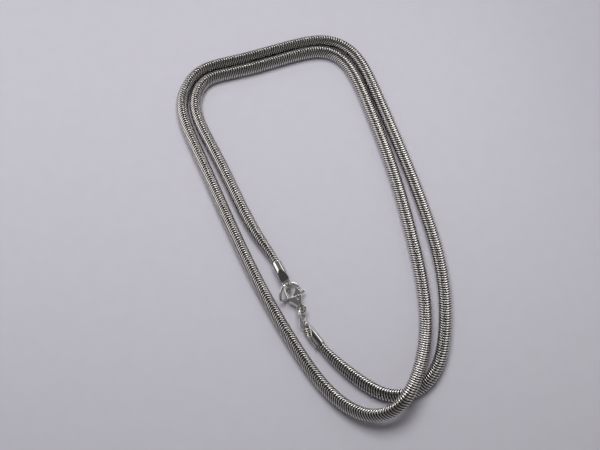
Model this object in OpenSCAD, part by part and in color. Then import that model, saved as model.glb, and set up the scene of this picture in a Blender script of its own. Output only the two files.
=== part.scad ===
// Round snake chain necklace with a crimped cap on each end, two jump rings and a lobster clasp.
// It lies closed on a flat surface, its loop laid twice round. Millimetres, +Z up, resting on z = 0.

/* [Chain] */
// Outer diameter of the chain
chain_d = 3.2; // [2.6:0.05:3.25]
// Length over which each end of the chain narrows to fit its cap
chain_taper_l = 16; // [8:1:24]
// Length of chain inside each cap
chain_in_cap = 2.4; // [1.8:0.1:2.5]
// Gap between the chain's two passes where it crosses itself
crossing_gap = 0.15; // [0.1:0.05:0.6]

/* [End caps] */
// Outer diameter of a cap's tube
cap_d = 2.7; // [2.6:0.05:2.9]
// Wall of a cap's tube
cap_wall = 0.25; // [0.15:0.05:0.4]
// Length of the round tube, as deep as its bore
cap_tube_l = 2.6; // [2.5:0.1:3.2]
// Length over which the tube is pressed flat
cap_slant_l = 3; // [2.5:0.1:3.2]
// Distance from the end of the slant to the middle of the eye
cap_eye_x = 1; // [0.9:0.05:1.1]
// Thickness of the flat tongue
cap_tongue_t = 0.8; // [0.6:0.05:0.8]
// Width of the flat tongue
cap_tongue_w = 2; // [1.95:0.05:2.2]
// Diameter of the eye in the tongue
cap_eye_d = 1.4; // [1.35:0.05:1.5]
// Turn of cap A's tongue about its own axis, in degrees
cap_a_roll = -17; // [-20:1:-14]
// Turn of cap B's tongue about its own axis, in degrees
cap_b_roll = 44; // [38:1:46]

/* [Jump rings] */
// Wire diameter of the jump rings
ring_wire = 0.6; // [0.5:0.02:0.62]
// Outer diameter of the ring on cap A
ring_a_d = 5; // [4.9:0.05:5.1]
// Outer diameter of the ring on cap B
ring_b_d = 4.75; // [4.6:0.05:4.9]

/* [Clasp] */
// Distance from the middle of the tail eye to the top of the hook
clasp_l = 8.1; // [7.8:0.1:8.6]
// Outer radius of the hook
hook_r = 2.05; // [1.9:0.05:2.2]
// Width of the hook's band, seen from above
hook_w = 0.7; // [0.6:0.05:0.75]
// Thickness of the hook and the spine
hook_t = 0.8; // [0.75:0.05:0.85]
// Length of the hook's straight tip beyond its bend
hook_tip_l = 0.5; // [0.3:0.05:0.7]
// Thickness of the belly
belly_t = 1.8; // [1.7:0.05:1.9]
// Distance from the tail eye to the foot of the spine
belly_l = 3.7; // [3.6:0.05:3.8]
// Outer diameter of the tail eye
tail_d = 2.5; // [2.3:0.05:2.7]
// Diameter of the hole in the tail eye
tail_eye_d = 1.3; // [1.2:0.05:1.4]
// Thickness of the tail eye
tail_t = 1; // [0.8:0.05:1.1]
// Thickness of the lever
lever_t = 0.8; // [0.6:0.05:0.9]
// Distance from the pin to the tip of the lever's thumb tab
lever_reach = 2.9; // [2.8:0.05:3]
// Radius of the lever's hub, round its pin
lever_hub_r = 0.62; // [0.55:0.01:0.66]
// Gap on each side of the lever in its slot, and round its tip
lever_gap = 0.06; // [0.05:0.01:0.1]
// Diameter of the pin that the lever turns on
pin_d = 0.6; // [0.5:0.05:0.7]
// Radial clearance of the lever on its pin
pin_gap = 0.05; // [0.03:0.01:0.08]

/* [Hidden] */
$fn = 48;
steel = [0.78, 0.77, 0.75];

// The chain's axis: it leaves cap A, follows a smooth curve near these points and ends in cap B.
// The columns are x and y in millimetres, and the height over the surface's own height of
// half a diameter, as a share of one diameter and the crossing gap.
X = 0;
Y = 1;
LIFT = 2;
chain_route = [
    [-15.0, -3.0, 0.0],
    [-22.5, 15.0, 0.0],
    [-30.5, 29.5, 0.0],
    [-30.0, 36.5, 0.0],
    [-27.0, 41.5, 0.0],
    [-17.0, 43.0, 0.0],
    [-0.5, 49.5, 0.0],
    [6.5, 49.5, 0.0],
    [12.0, 44.5, 0.0],
    [16.5, 31.0, 0.0],
    [22.0, 14.0, 0.0],
    [26.0, -4.5, 0.0],
    [29.0, -21.5, 0.0],
    [28.5, -35.5, 0.15],
    [24.0, -48.5, 1.3],
    [19.0, -53.0, 1.0],
    [12.5, -53.0, 0.4],
    [4.5, -47.0, 0.0],
    [-3.0, -36.0, 0.0],
    [-12.5, -19.0, 0.0],
    [-20.0, -2.5, 0.0],
    [-27.5, 15.5, 0.0],
    [-34.5, 30.5, 0.0],
    [-33.0, 38.0, 0.0],
    [-29.0, 44.5, 0.0],
    [-18.0, 46.5, 0.0],
    [-0.5, 53.0, 0.0],
    [7.5, 53.0, 0.0],
    [14.0, 48.0, 0.0],
    [18.0, 37.0, 0.0],
    [25.0, 17.0, 0.0],
    [30.0, 1.0, 0.0],
    [34.0, -16.0, 0.0],
    [33.5, -32.0, 0.0],
    [31.0, -41.5, 0.0],
    [25.5, -47.0, 0.0],
    [18.0, -48.0, 0.0],
    [10.0, -42.0, 0.0],
];
chain_lead = 5;
chain_sections = 79;
chain_sides = 8;
sections_last = chain_sections - 1;

// How the pieces lie: the middle of the hook's bend, then each piece's own direction as its
// azimuth and elevation in degrees, and the clasp's roll
hook_place = [-4.04, -20.13, 1.37];
clasp_turn = [110, -7];
clasp_roll = -1;
cap_a_turn = [-65, 7];
cap_b_turn = [126.5, 0.7];

// Where each ring's wire passes: beside the middle of an eye, or beside the middle of the hook's
// bend. Then, in degrees, the direction from the clasp's side to the cap's, the arc of the ring
// between the two, and the ring's lean about the line between them.
ring_a_in_cap = [0.15, 0.2, 0];
ring_a_in_hook = [0.45, 0.45, 0];
ring_a_turn = [125, 67];
ring_a_arc = 45;
ring_a_lean = 28;
ring_b_in_cap = [-0.2, 0.1, 0];
ring_b_in_tail = [0.05, -0.05, 0];
ring_b_turn = [-79.5, -6.5];
ring_b_arc = 147.5;
ring_b_lean = 108;

cap_bore_d = cap_d - 2 * cap_wall;
chain_fit_gap = 0.12;
chain_end_r = cap_bore_d / 2 - chain_fit_gap;
cap_flat_x = cap_tube_l + cap_slant_l;
cap_eye_at = [cap_flat_x + cap_eye_x, 0, 0];
cap_l = cap_eye_at[X] + cap_tongue_w / 2;

hook_at = [clasp_l - hook_r, 0.1 * hook_r, 0];
spine_y = hook_at[Y] + hook_r;
gate_y = hook_at[Y] - hook_r;
hook_mean_r = hook_r - hook_w / 2;
hook_tip_x = hook_at[X] - hook_tip_l;
spine_x = 0.97 * belly_l;
pivot = [0.78 * belly_l, -0.1 * hook_r];

function unit(v) = v / norm(v);
function mix(a, b, t) = a * (1 - t) + b * t;

// The unit direction with an azimuth and an elevation
function heading(turn) = [cos(turn[0]) * cos(turn[1]), sin(turn[0]) * cos(turn[1]), sin(turn[1])];

// A frame is an origin and three unit directions: ahead, across and up
function frame(at, ahead, up_hint) =
    let (x = unit(ahead), z = unit(up_hint - (up_hint * x) * x))
    [at, x, cross(z, x), z];
function out_of(f, p) = f[0] + p[0] * f[1] + p[1] * f[2] + p[2] * f[3];

// The frame of a piece that points along a heading, is rolled about it, and has its point p at a place
function laid(turn, roll, p, place) =
    let (
        level = frame([0, 0, 0], heading(turn), [0, 0, 1]),
        f = frame([0, 0, 0], level[1], cos(roll) * level[3] + sin(roll) * level[2])
    )
    [place - out_of(f, p), f[1], f[2], f[3]];

// A ring's frame: its wire passes through two points, and it leans by an angle about their line
function ring_frame(p, q, mean_r, lean) =
    let (
        line = unit(q - p),
        level = unit(cross(line, [0, 0, 1])),
        side = cos(lean) * level + sin(lean) * cross(level, line),
        middle = (p + q) / 2 + sqrt(pow(mean_r, 2) - pow(norm(q - p) / 2, 2)) * side
    )
    frame(middle, side, cross(line, side));

// The clasp runs from its tail eye towards its hook, with the spine on its +Y side. A ring hangs
// on each end of it, and each ring's cap runs from its mouth towards the ring.
ring_a_mean_d = ring_a_d - ring_wire;
ring_b_mean_d = ring_b_d - ring_wire;
clasp_frame = laid(clasp_turn, clasp_roll, hook_at, hook_place);
ring_a_at_hook = out_of(clasp_frame, hook_at + ring_a_in_hook);
ring_a_at_cap = ring_a_at_hook + ring_a_mean_d * sin(ring_a_arc / 2) * heading(ring_a_turn);
ring_a_frame = ring_frame(ring_a_at_cap, ring_a_at_hook, ring_a_mean_d / 2, ring_a_lean);
ring_b_at_tail = out_of(clasp_frame, ring_b_in_tail);
ring_b_at_cap = ring_b_at_tail + ring_b_mean_d * sin(ring_b_arc / 2) * heading(ring_b_turn);
ring_b_frame = ring_frame(ring_b_at_cap, ring_b_at_tail, ring_b_mean_d / 2, ring_b_lean);
cap_a_frame = laid(cap_a_turn, cap_a_roll, cap_eye_at + ring_a_in_cap, ring_a_at_cap);
cap_b_frame = laid(cap_b_turn, cap_b_roll, cap_eye_at + ring_b_in_cap, ring_b_at_cap);

// The chain's axis as a uniform cubic B-spline: it starts and ends inside the caps, in line with them
function cap_run(f) =
    [out_of(f, [chain_in_cap, 0, 0]), out_of(f, [chain_in_cap - chain_lead, 0, 0])];
chain_points =
    concat(
        cap_run(cap_a_frame),
        [for (row = chain_route) [row[X], row[Y], chain_d / 2 + row[LIFT] * (chain_d + crossing_gap)]],
        [cap_run(cap_b_frame)[1], cap_run(cap_b_frame)[0]]
    );
points_last = len(chain_points) - 1;
function pole(k) =
    k < 0 ? 2 * chain_points[0] - chain_points[1]
    : k > points_last ? 2 * chain_points[points_last] - chain_points[points_last - 1]
    : chain_points[k];
function axis_at(u) =
    let (i = min(floor(u), points_last - 1), t = u - i)
    (pole(i - 1) * pow(1 - t, 3)
     + pole(i) * (3 * pow(t, 3) - 6 * pow(t, 2) + 4)
     + pole(i + 1) * (-3 * pow(t, 3) + 3 * pow(t, 2) + 3 * t + 1)
     + pole(i + 2) * pow(t, 3)) / 6;
chain_axis = [for (j = [0 : sections_last]) axis_at(j * points_last / sections_last)];
function step(j) = j < sections_last ? norm(chain_axis[j + 1] - chain_axis[j]) : 0;
chain_s = [for (j = 0, s = 0; j <= sections_last; s = s + step(j), j = j + 1) s];
chain_l = chain_s[sections_last];

// The chain's radius at a distance s along it: it narrows towards both caps
function chain_r(s) =
    let (t = (min(s, chain_l - s) - chain_in_cap) / chain_taper_l)
    mix(chain_end_r, chain_d / 2, sin(90 * min(max(t, 0), 1)));

// One section of the tube, square to the axis, with a corner at its lowest point
function section_points(j) =
    let (
        tangent = unit(chain_axis[min(j + 1, sections_last)] - chain_axis[max(j - 1, 0)]),
        across = unit(cross(tangent, [0, 0, 1])),
        up = cross(across, tangent),
        r = chain_r(chain_s[j])
    )
    [for (k = [0 : chain_sides - 1])
        let (a = k * 360 / chain_sides)
        chain_axis[j] + r * (cos(a) * across + sin(a) * up)];

module place(f) {
    multmatrix([
        [f[1][0], f[2][0], f[3][0], f[0][0]],
        [f[1][1], f[2][1], f[3][1], f[0][1]],
        [f[1][2], f[2][2], f[3][2], f[0][2]],
        [0, 0, 0, 1],
    ])
        children();
}

module torus(outer_d) {
    rotate_extrude()
        translate([(outer_d - ring_wire) / 2, 0])
            circle(d = ring_wire);
}

module chain() {
    points = [for (j = [0 : sections_last]) each section_points(j)];
    function at(j, k) = j * chain_sides + k % chain_sides;
    walls = [for (j = [0 : sections_last - 1], k = [0 : chain_sides - 1]) each [
        [at(j, k), at(j, k + 1), at(j + 1, k + 1)],
        [at(j, k), at(j + 1, k + 1), at(j + 1, k)],
    ]];
    first = [for (k = [chain_sides - 1 : -1 : 0]) at(0, k)];
    last = [for (k = [0 : chain_sides - 1]) at(sections_last, k)];
    color(steel) polyhedron(points = points, faces = concat([first, last], walls));
}

// A tube pressed into a flat tongue with an eye, along +X from its mouth
module end_cap() {
    half_t = cap_tongue_t / 2;
    half_w = cap_tongue_w / 2;
    half_d = cap_d / 2;
    difference() {
        intersection() {
            rotate([0, 90, 0]) cylinder(d = cap_d, h = cap_l);
            rotate([90, 0, 0])
                linear_extrude(height = 2 * cap_d, center = true)
                    polygon([
                        [0, -half_d], [cap_tube_l, -half_d], [cap_flat_x, -half_t], [cap_l, -half_t],
                        [cap_l, half_t], [cap_flat_x, half_t], [cap_tube_l, half_d], [0, half_d],
                    ]);
            union() {
                linear_extrude(height = 2 * cap_d, center = true)
                    polygon([
                        [0, -half_d], [cap_tube_l, -half_d], [cap_eye_at[X], -half_w],
                        [cap_eye_at[X], half_w], [cap_tube_l, half_d], [0, half_d],
                    ]);
                translate([cap_eye_at[X], 0, 0]) cylinder(d = cap_tongue_w, h = 2 * cap_d, center = true);
            }
        }
        rotate([0, 90, 0]) translate([0, 0, -cap_d]) cylinder(d = cap_bore_d, h = cap_d + cap_tube_l);
        translate(cap_eye_at) cylinder(d = cap_eye_d, h = 2 * cap_d, center = true);
    }
}

module end_cap_a() {
    color(steel) place(cap_a_frame) end_cap();
}

module end_cap_b() {
    color(steel) place(cap_b_frame) end_cap();
}

module jump_ring_a() {
    color(steel) place(ring_a_frame) torus(ring_a_d);
}

module jump_ring_b() {
    color(steel) place(ring_b_frame) torus(ring_b_d);
}

// The hook's section, with round inner and outer edges
module hook_section() {
    edge = (hook_t - hook_w) / 2;
    translate([0, edge]) circle(d = hook_w);
    translate([0, -edge]) circle(d = hook_w);
    square([hook_w, 2 * edge], center = true);
}

module hook() {
    translate(hook_at)
        rotate([0, 0, -90])
            rotate_extrude(angle = 180)
                translate([hook_mean_r, 0])
                    hook_section();
    translate([hook_tip_x, hook_at[Y] - hook_mean_r, 0]) rod(hook_tip_l);
    translate([spine_x, hook_at[Y] + hook_mean_r, 0]) rod(hook_at[X] - spine_x);
}

// A straight length of the hook's section along +X
module rod(length) {
    rotate([90, 0, 90]) linear_extrude(height = length) hook_section();
}

// The belly seen from above: shares of its length and of the half widths beside it
module belly_outline() {
    polygon([
        [0.24 * belly_l, 0.22 * spine_y],
        [0.51 * belly_l, 0.51 * spine_y],
        [0.81 * belly_l, 0.91 * spine_y],
        [spine_x, spine_y],
        [belly_l, spine_y],
        [belly_l, 0.71 * gate_y],
        [0.6 * belly_l, 0.46 * gate_y],
        [0.24 * belly_l, 0.27 * gate_y],
    ]);
}

// What the lever needs in the belly: its hub and the way that its arm sweeps
module lever_slot_outline() {
    slot_r = lever_hub_r + 2 * lever_gap;
    translate(pivot) circle(r = slot_r);
    polygon([
        pivot + [-0.3 * slot_r, slot_r],
        [1.3 * belly_l, 0.8 * spine_y],
        [2 * belly_l, spine_y],
        [2 * belly_l, 2 * gate_y],
        pivot + [-1.5 * slot_r, 2 * gate_y],
        pivot + [-slot_r, 0],
    ]);
}

module clasp_body() {
    color(steel)
        place(clasp_frame) {
            difference() {
                union() {
                    linear_extrude(height = belly_t, center = true) belly_outline();
                    cylinder(d = tail_d, h = tail_t, center = true);
                }
                cylinder(d = tail_eye_d, h = 2 * belly_t, center = true);
                linear_extrude(height = lever_t + 2 * lever_gap, center = true) lever_slot_outline();
                translate(pivot) cylinder(d = pin_d + pin_gap, h = 2 * belly_t, center = true);
            }
            hook();
        }
}

module clasp_pin() {
    color(steel) place(clasp_frame) translate(pivot) cylinder(d = pin_d, h = belly_t, center = true);
}

// The lever's arm seen from above, closed, with its tip tucked under the hook's and its thumb tab
module lever_outline() {
    tip_x = hook_at[X] - 2 * lever_gap;
    tip_y = gate_y + hook_w + lever_gap;
    polygon([
        pivot + lever_hub_r * [0.16, 0.8],
        pivot + lever_reach * [0.48, 0.28],
        [tip_x, tip_y + 0.65 * hook_w],
        [tip_x, tip_y],
        [hook_tip_x - lever_gap, tip_y],
        [hook_tip_x - 4 * lever_gap, 0.7 * gate_y],
        pivot + lever_reach * [0.55, -0.43],
        pivot + lever_reach * [0.67, -0.74],
        pivot + lever_reach * [0.62, -0.81],
        pivot + lever_reach * [0.55, -0.83],
        pivot + lever_reach * [0.38, -0.43],
        pivot + lever_reach * [0.1, -0.33],
        pivot + lever_hub_r * [-0.16, -0.8],
    ]);
}

module clasp_lever() {
    color(steel)
        place(clasp_frame)
            difference() {
                union() {
                    linear_extrude(height = lever_t, center = true) lever_outline();
                    translate(pivot) cylinder(r = lever_hub_r, h = lever_t, center = true);
                }
                translate(pivot) cylinder(d = pin_d + 2 * pin_gap, h = 2 * lever_t, center = true);
            }
}

chain();
end_cap_a();
end_cap_b();
jump_ring_a();
jump_ring_b();
clasp_body();
clasp_pin();
clasp_lever();
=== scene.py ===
"""Snake chain necklace: nested wavy links along the chain's route, and the finished look of its fittings."""

import math

import bpy
import numpy as np
from mathutils import Matrix, Vector


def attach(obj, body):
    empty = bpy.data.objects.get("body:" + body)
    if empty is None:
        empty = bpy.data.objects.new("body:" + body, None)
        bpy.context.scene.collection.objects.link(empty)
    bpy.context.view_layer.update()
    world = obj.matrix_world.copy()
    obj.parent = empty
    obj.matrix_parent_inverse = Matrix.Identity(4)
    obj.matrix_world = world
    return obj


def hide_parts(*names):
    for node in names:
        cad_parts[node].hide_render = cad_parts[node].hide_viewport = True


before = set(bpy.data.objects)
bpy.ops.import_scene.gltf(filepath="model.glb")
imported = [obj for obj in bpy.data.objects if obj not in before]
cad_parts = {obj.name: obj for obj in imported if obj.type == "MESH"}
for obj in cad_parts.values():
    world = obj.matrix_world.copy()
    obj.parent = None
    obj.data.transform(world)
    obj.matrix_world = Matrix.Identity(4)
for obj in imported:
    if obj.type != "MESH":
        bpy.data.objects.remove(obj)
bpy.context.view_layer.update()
scene = bpy.context.scene
scene.view_settings.view_transform = "Standard"

# The chain, its links, the rings and the camera's place are given in mm, and Blender works in metres.
MM = 0.001

# The chain's route, diameter and taper, as in part.scad.
CHAIN_D = 3.2
TAPER_L = 16.0
IN_CAP = 2.4
END_R = 0.98
CROSSING_GAP = 0.15
# x and y of each pole, and its lift off the surface as a share of one chain lying on another
ROUTE = [
    (-6.99, -15.49, 0.202), (-9.09, -10.99, 0.02), (-15.0, -3.0, 0.0), (-22.5, 15.0, 0.0), (-30.5, 29.5, 0.0),
    (-30.0, 36.5, 0.0), (-27.0, 41.5, 0.0), (-17.0, 43.0, 0.0), (-0.5, 49.5, 0.0), (6.5, 49.5, 0.0),
    (12.0, 44.5, 0.0), (16.5, 31.0, 0.0), (22.0, 14.0, 0.0), (26.0, -4.5, 0.0), (29.0, -21.5, 0.0),
    (28.5, -35.5, 0.15), (24.0, -48.5, 1.3), (19.0, -53.0, 1.0), (12.5, -53.0, 0.4), (4.5, -47.0, 0.0),
    (-3.0, -36.0, 0.0), (-12.5, -19.0, 0.0), (-20.0, -2.5, 0.0), (-27.5, 15.5, 0.0), (-34.5, 30.5, 0.0),
    (-33.0, 38.0, 0.0), (-29.0, 44.5, 0.0), (-18.0, 46.5, 0.0), (-0.5, 53.0, 0.0), (7.5, 53.0, 0.0),
    (14.0, 48.0, 0.0), (18.0, 37.0, 0.0), (25.0, 17.0, 0.0), (30.0, 1.0, 0.0), (34.0, -16.0, 0.0),
    (33.5, -32.0, 0.0), (31.0, -41.5, 0.0), (25.5, -47.0, 0.0), (18.0, -48.0, 0.0), (10.0, -42.0, 0.0),
    (4.37, -36.72, 0.002), (1.4, -32.7, 0.02),
]
ROUTE_SAMPLES = 8001

# The links: their spacing, and the points round each.
PITCH = 0.64
AROUND = 48
# the links lie this far inside the CAD tube, and keep this far from its two ends
SKIN = 0.012
END_MARGIN = 0.05
# the length of chain left free of links, both ends together
ENDS_FREE = 1.6
PIECES = 4
# how far a link waves along the chain, the share of that at the chain's ends,
# and the length that it grows over
WAVE = 0.45
WAVE_AT_END = 0.35
WAVE_GROWS_OVER = 30
# the section of one link's band: its place along the pitch, its depth under the crest in mm, and its painted
# shade (1 on the crest, 0 for painted shade on the flanks and in the grooves where the bands meet)
BAND = [
    (-0.49, 0.26, 0.0), (-0.35, 0.17, 0.0), (-0.26, 0.03, 1.0), (-0.09, 0.0, 1.0), (0.09, 0.0, 1.0),
    (0.26, 0.03, 1.0), (0.35, 0.17, 0.0), (0.49, 0.26, 0.0), (0.0, 0.6, 0.0),
]
# the rows of the band that stay sharp
EDGES = (2, 5)

# The jump rings: the sections and sides of the wire, its clearance inside the CAD ring, and the cut's width.
RING_SECTIONS = 121
WIRE_SIDES = 28
WIRE_INSET = 0.004
RING_CUT = 0.05

# The floor reaches this far each way from the middle, in metres.
FLOOR_HALF = 3
# the world's grey by the sine of the height above the horizon, and the same below it as at it
SKY = [(0.0, 0.1), (0.5, 0.28), (0.8, 0.18), (0.93, 0.05), (1.0, 0.03)]

# The camera that the photograph's perspective gives.
EYE = (-2.156, -126.124, 272.62)
LOOK_AT = (-2.156, -1.884, 0.0)


def route_points():
    pts = np.array(ROUTE, float)
    pts[:, 2] = CHAIN_D / 2 + pts[:, 2] * (CHAIN_D + CROSSING_GAP)
    return pts


def spline(u):
    """The uniform cubic B-spline with natural ends that the CAD tube follows."""
    pts = route_points()
    last = len(pts) - 1
    u = np.atleast_1d(u)
    i = np.minimum(np.floor(u).astype(int), last - 1)
    t = (u - i)[:, None]

    def pole(k):
        q = pts[np.clip(k, 0, last)].copy()
        q[k < 0] = 2 * pts[0] - pts[1]
        q[k > last] = 2 * pts[-1] - pts[-2]
        return q

    return (
        pole(i - 1) * (1 - t) ** 3
        + pole(i) * (3 * t**3 - 6 * t**2 + 4)
        + pole(i + 1) * (-3 * t**3 + 3 * t**2 + 3 * t + 1)
        + pole(i + 2) * t**3
    ) / 6


FINE = spline(np.linspace(0, len(ROUTE) - 1, ROUTE_SAMPLES))
STEPS = np.linalg.norm(np.diff(FINE, axis=0), axis=1)
ARC = np.concatenate([[0], np.cumsum(STEPS)])
LENGTH = ARC[-1]
TANGENT = np.gradient(FINE, ARC, axis=0)
TANGENT /= np.linalg.norm(TANGENT, axis=1)[:, None]


def along(s, table):
    return np.stack([np.interp(s, ARC, table[:, k]) for k in range(3)], axis=-1)


def chain_radius(s):
    t = (np.minimum(s, LENGTH - s) - IN_CAP) / TAPER_L
    w = np.sin(np.pi / 2 * np.clip(t, 0, 1))
    return END_R * (1 - w) + CHAIN_D / 2 * w


def wave_height(s):
    near_end = np.minimum(s, LENGTH - s) / WAVE_GROWS_OVER
    return WAVE * (WAVE_AT_END + (1 - WAVE_AT_END) * np.clip(near_end, 0, 1))


def add_object(name, data):
    obj = bpy.data.objects.new(name, data)
    scene.collection.objects.link(obj)
    return obj


def links(name, first, last, start):
    """A run of links: each one a closed band round the chain, that waves along it twice in a turn."""
    centre = start + PITCH * np.arange(first, last)
    phi = np.linspace(0, 2 * np.pi, AROUND, endpoint=False)
    c, f, b = np.meshgrid(centre, phi, np.arange(len(BAND)), indexing="ij")
    band = np.array(BAND)
    size = chain_radius(c) / (CHAIN_D / 2)
    s = c + wave_height(c) * size * np.cos(2 * f) + PITCH * band[b, 0]
    s = np.clip(s, END_MARGIN, LENGTH - END_MARGIN)
    r = (chain_radius(s) - SKIN) - band[b, 1] * size
    at, ahead = along(s, FINE), along(s, TANGENT)
    ahead /= np.linalg.norm(ahead, axis=-1)[..., None]
    across = np.cross(ahead, [0.0, 0.0, 1.0])
    across /= np.linalg.norm(across, axis=-1)[..., None]
    up = np.cross(across, ahead)
    verts = (at + r[..., None] * (np.sin(f)[..., None] * across + np.cos(f)[..., None] * up)) * MM
    n, m, k = c.shape
    i, j, q = np.meshgrid(np.arange(n), np.arange(m), np.arange(k), indexing="ij")

    def index(j_, q_):
        return (i * m + j_ % m) * k + q_ % k

    faces = np.stack([index(j, q), index(j, q + 1), index(j + 1, q + 1), index(j + 1, q)], axis=-1)
    mesh = bpy.data.meshes.new(name)
    mesh.from_pydata(verts.reshape(-1, 3).tolist(), [], faces.reshape(-1, 4).tolist())
    mesh.update()
    mesh.shade_smooth()
    # painted shade: each point's tone, dark on the flanks and in the grooves between bands, where shade falls
    shade = mesh.attributes.new("painted_groove_shade", "FLOAT", "POINT")
    shade.data.foreach_set("value", band[b, 2].ravel().astype(np.float32))
    ends = np.empty(2 * len(mesh.edges), np.int32)
    mesh.edges.foreach_get("vertices", ends)
    place = ends.reshape(-1, 2) % k
    sharp = (place[:, 0] == place[:, 1]) & np.isin(place[:, 0], EDGES)
    layer = mesh.attributes.new("sharp_edge", "BOOLEAN", "EDGE")
    layer.data.foreach_set("value", sharp)
    return add_object(name, mesh)


count = int((LENGTH - ENDS_FREE) / PITCH)
start = (LENGTH - PITCH * (count - 1)) / 2
splits = [round(count * q / PIECES) for q in range(PIECES + 1)]
chain_pieces = [
    links(f"links_{q + 1}", splits[q], splits[q + 1], start) for q in range(PIECES)
]


def softened(name, node, voxel, rounds):
    """A cast or pressed piece: the CAD solid's own form with its edges rounded over."""
    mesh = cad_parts[node].data.copy()
    mesh.name = name
    mesh.materials.clear()
    obj = add_object(name, mesh)
    middle = sum((v.co for v in mesh.vertices), Vector()) / len(mesh.vertices)
    mesh.transform(Matrix.Translation(-middle))
    mesh.transform(Matrix.Scale(1 / MM, 4))
    remesh = obj.modifiers.new("remesh", "REMESH")
    remesh.mode = "VOXEL"
    remesh.voxel_size = voxel
    smooth = obj.modifiers.new("smooth", "SMOOTH")
    smooth.factor = 0.5
    smooth.iterations = rounds
    made = bpy.data.meshes.new_from_object(obj.evaluated_get(bpy.context.evaluated_depsgraph_get()))
    obj.modifiers.clear()
    obj.data = made
    made.name = name
    made.transform(Matrix.Scale(MM, 4))
    made.transform(Matrix.Translation(middle))
    made.shade_smooth()
    return obj


def ring_tube(name, node, cut_at):
    """A jump ring bent from round wire, with the fine cut where its ends meet."""
    co = np.array([v.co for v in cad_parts[node].data.vertices]) / MM
    middle = co.mean(0)
    normal = np.linalg.svd(co - middle)[2][2]
    flat = (co - middle) - np.outer((co - middle) @ normal, normal)
    reach = np.linalg.norm(flat, axis=1)
    outer, inner = reach.max(), reach.min()
    mean_r, wire_r = (outer + inner) / 2, (outer - inner) / 2 - WIRE_INSET
    x = np.cross(normal, [0.0, 0.0, 1.0])
    x /= np.linalg.norm(x)
    y = np.cross(normal, x)
    gap = RING_CUT / mean_r
    verts = []
    for a in np.linspace(gap / 2, 2 * np.pi - gap / 2, RING_SECTIONS) + cut_at:
        out = math.cos(a) * x + math.sin(a) * y
        for b in np.linspace(0, 2 * np.pi, WIRE_SIDES, endpoint=False):
            round_wire = math.cos(b) * out + math.sin(b) * normal
            verts.append(tuple((middle + mean_r * out + wire_r * round_wire) * MM))
    faces = []
    for i in range(RING_SECTIONS - 1):
        here, ahead = i * WIRE_SIDES, (i + 1) * WIRE_SIDES
        for k in range(WIRE_SIDES):
            beside = (k + 1) % WIRE_SIDES
            faces.append((here + k, here + beside, ahead + beside, ahead + k))
    last = (RING_SECTIONS - 1) * WIRE_SIDES
    ends = [list(range(WIRE_SIDES - 1, -1, -1)), [last + k for k in range(WIRE_SIDES)]]
    mesh = bpy.data.meshes.new(name)
    mesh.from_pydata(verts, [], faces + ends)
    mesh.update()
    mesh.shade_smooth()
    for p in mesh.polygons:
        if len(p.vertices) > 4:
            p.use_smooth = False
    return add_object(name, mesh)


# The fittings, from their CAD solids. Voxels are in mm, and a cut's place is in radians round its ring.
body = softened("clasp_casting", "clasp_body", voxel=0.05, rounds=14)
lever = softened("lever_plate", "clasp_lever", voxel=0.045, rounds=6)
cap_a = softened("pressed_cap_a", "end_cap_a", voxel=0.065, rounds=2)
cap_b = softened("pressed_cap_b", "end_cap_b", voxel=0.065, rounds=2)
ring_a = ring_tube("wire_ring_a", "jump_ring_a", cut_at=2.2)
ring_b = ring_tube("wire_ring_b", "jump_ring_b", cut_at=4.4)


def node_material(name):
    mat = bpy.data.materials.new(name)
    mat.use_nodes = True
    tree = mat.node_tree
    return mat, tree, tree.nodes["Principled BSDF"]


def noise(tree, scale, detail, rough=0.5):
    coord = tree.nodes.new("ShaderNodeTexCoord")
    tex = tree.nodes.new("ShaderNodeTexNoise")
    tex.inputs["Scale"].default_value = scale
    tex.inputs["Detail"].default_value = detail
    tex.inputs["Roughness"].default_value = rough
    tree.links.new(coord.outputs["Object"], tex.inputs["Vector"])
    return tex


def ramp(tree, source, stops):
    node = tree.nodes.new("ShaderNodeValToRGB")
    for _ in range(len(stops) - 2):
        node.color_ramp.elements.new(0.5)
    for element, (place, colour) in zip(node.color_ramp.elements, stops):
        element.position = place
        element.color = (*colour, 1)
    tree.links.new(source, node.inputs["Fac"])
    return node


def bump(tree, bsdf, height, strength, distance):
    node = tree.nodes.new("ShaderNodeBump")
    node.inputs["Strength"].default_value = strength
    node.inputs["Distance"].default_value = distance
    tree.links.new(height, node.inputs["Height"])
    tree.links.new(node.outputs["Normal"], bsdf.inputs["Normal"])


def grey(v):
    return (v, v, v)


def polished_steel(name, tint, rough):
    """Bare steel with a faint cloud in its tone and a fine haze in its polish."""
    mat, tree, bsdf = node_material(name)
    bsdf.inputs["Metallic"].default_value = 1.0
    cloud = noise(tree, scale=900, detail=3)
    tone = ramp(tree, cloud.outputs["Fac"], [(0.3, tuple(c * 0.93 for c in tint)), (0.7, tint)])
    tree.links.new(tone.outputs["Color"], bsdf.inputs["Base Color"])
    haze = noise(tree, scale=3500, detail=4, rough=0.6)
    gloss = ramp(tree, haze.outputs["Fac"], [(0.3, grey(rough * 0.8)), (0.75, grey(rough * 1.5))])
    tree.links.new(gloss.outputs["Color"], bsdf.inputs["Roughness"])
    bump(tree, bsdf, haze.outputs["Fac"], strength=0.05, distance=0.00002)
    return mat


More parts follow.
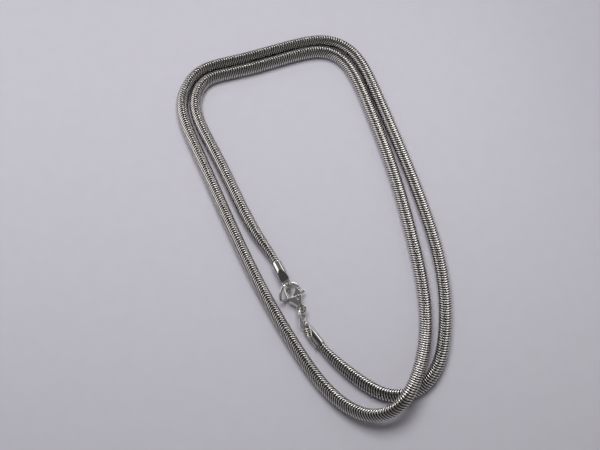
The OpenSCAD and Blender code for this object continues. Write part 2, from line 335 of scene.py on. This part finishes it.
def link_steel():
    """The links' steel: the steel's own tone on each band's crest, with painted shade darkening the flanks
    and grooves where the bands meet.
    """
    mat, tree, bsdf = node_material("link_steel")
    bsdf.inputs["Metallic"].default_value = 1.0
    painted_groove_shade = tree.nodes.new("ShaderNodeAttribute")
    painted_groove_shade.attribute_name = "painted_groove_shade"
    cloud = noise(tree, scale=700, detail=3)
    # the tone by the painted shade: near black for the painted shade in the grooves, the steel's own tone on
    # the crest
    stops = [(0.0, (0.03, 0.028, 0.027)), (0.5, (0.12, 0.115, 0.11)), (0.9, (0.71, 0.683, 0.664))]
    tone = ramp(tree, painted_groove_shade.outputs["Fac"], stops)
    mix = tree.nodes.new("ShaderNodeMix")
    mix.data_type = "RGBA"
    mix.blend_type = "MULTIPLY"
    mix.inputs["Factor"].default_value = 1.0
    shade = ramp(tree, cloud.outputs["Fac"], [(0.3, (0.9, 0.89, 0.88)), (0.7, (1.0, 1.0, 1.0))])
    tree.links.new(tone.outputs["Color"], mix.inputs["A"])
    tree.links.new(shade.outputs["Color"], mix.inputs["B"])
    tree.links.new(mix.outputs["Result"], bsdf.inputs["Base Color"])
    haze = noise(tree, scale=5000, detail=3, rough=0.6)
    gloss = ramp(tree, haze.outputs["Fac"], [(0.3, grey(0.28)), (0.75, grey(0.34))])
    tree.links.new(gloss.outputs["Color"], bsdf.inputs["Roughness"])
    return mat


steel = polished_steel("polished_steel", (0.7, 0.68, 0.66), rough=0.07)
casting = polished_steel("cast_steel", (0.7, 0.68, 0.66), rough=0.09)
linked = link_steel()

for piece in chain_pieces:
    piece.data.materials.append(linked)
for piece in (cap_a, cap_b, ring_a, ring_b):
    piece.data.materials.append(steel)
for piece in (body, lever):
    piece.data.materials.append(casting)
for node, material in (
    ("chain", linked), ("end_cap_a", steel), ("end_cap_b", steel), ("jump_ring_a", steel),
    ("jump_ring_b", steel), ("clasp_body", casting), ("clasp_pin", steel), ("clasp_lever", casting),
):
    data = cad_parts[node].data
    if not data.materials:
        data.materials.append(material)
    for k in range(len(data.materials)):
        data.materials[k] = material

# What rides on which body, and which CAD solid it replaces.
for piece, node in (
    (body, "clasp_body"), (cap_a, "end_cap_a"), (cap_b, "end_cap_b"),
    (ring_a, "jump_ring_a"), (ring_b, "jump_ring_b"),
):
    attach(piece, "necklace")
    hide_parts(node)
for piece in chain_pieces:
    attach(piece, "necklace")
    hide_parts("chain")
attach(lever, "lever")
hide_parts("clasp_lever")

# The floor.
floor_mesh = bpy.data.meshes.new("floor")
corners = [(x * FLOOR_HALF, y * FLOOR_HALF, 0) for x, y in ((-1, -1), (1, -1), (1, 1), (-1, 1))]
floor_mesh.from_pydata(corners, [], [(0, 1, 2, 3)])
floor_mesh.update()
floor = add_object("floor", floor_mesh)
mat, tree, bsdf = node_material("floor_paper")
fleck = noise(tree, scale=260, detail=3)
paper = ramp(tree, fleck.outputs["Fac"], [(0.35, (0.533, 0.518, 0.573)), (0.65, (0.543, 0.528, 0.583))])
tree.links.new(paper.outputs["Color"], bsdf.inputs["Base Color"])
bsdf.inputs["Roughness"].default_value = 0.6
floor.data.materials.append(mat)

# The world, a grey room that is darkest overhead.
world = bpy.data.worlds.new("studio")
scene.world = world
world.use_nodes = True
tree = world.node_tree
back = tree.nodes["Background"]
coord = tree.nodes.new("ShaderNodeTexCoord")
split = tree.nodes.new("ShaderNodeSeparateXYZ")
tree.links.new(coord.outputs["Generated"], split.inputs[0])
sky = ramp(tree, split.outputs["Z"], [(place, grey(v)) for place, v in SKY])
tree.links.new(sky.outputs["Color"], back.inputs["Color"])
back.inputs["Strength"].default_value = 1.0


def soft_light(name, at, target, size, power, spread=180, shine=True, floor=True):
    """A soft box, in metres, watts and degrees. Shine lights the metal, and floor lights the floor."""
    lamp = bpy.data.lights.new(name, "AREA")
    lamp.shape = "RECTANGLE"
    lamp.size, lamp.size_y = size
    lamp.energy = power
    lamp.spread = math.radians(spread)
    obj = add_object(name, lamp)
    obj.location = at
    obj.visible_glossy = shine
    obj.visible_diffuse = floor
    obj.rotation_mode = "QUATERNION"
    obj.rotation_quaternion = (Vector(target) - Vector(at)).to_track_quat("-Z", "Y")


# Three boxes that only the metal shows, and one that only the floor shows.
soft_light("right_box", (0.088, 0.03, 0.055), (0.042, -0.005, 0), (0.14, 0.05), 0.0085, 70, floor=False)
soft_light("back_box", (0.02, 0.19, 0.13), (0.015, -0.055, 0), (0.14, 0.07), 0.0135, 38, floor=False)
soft_light("left_box", (-0.125, 0.04, 0.055), (-0.03, 0.01, 0), (0.14, 0.09), 0.062, floor=False)
soft_light("floor_key", (-0.03, 0.08, 0.28), (-0.03, 0.08, 0), (0.2, 0.2), 0.8, shine=False)

# The camera.
camera = bpy.data.cameras.new("camera")
camera.lens = 70.3
camera.sensor_width = 36.0
camera.clip_start = 0.01
camera.clip_end = 20
eye, look = Vector(EYE) * MM, Vector(LOOK_AT) * MM
cam_obj = add_object("camera", camera)
cam_obj.location = eye
cam_obj.rotation_mode = "QUATERNION"
cam_obj.rotation_quaternion = (look - eye).to_track_quat("-Z", "Y")
scene.camera = cam_obj
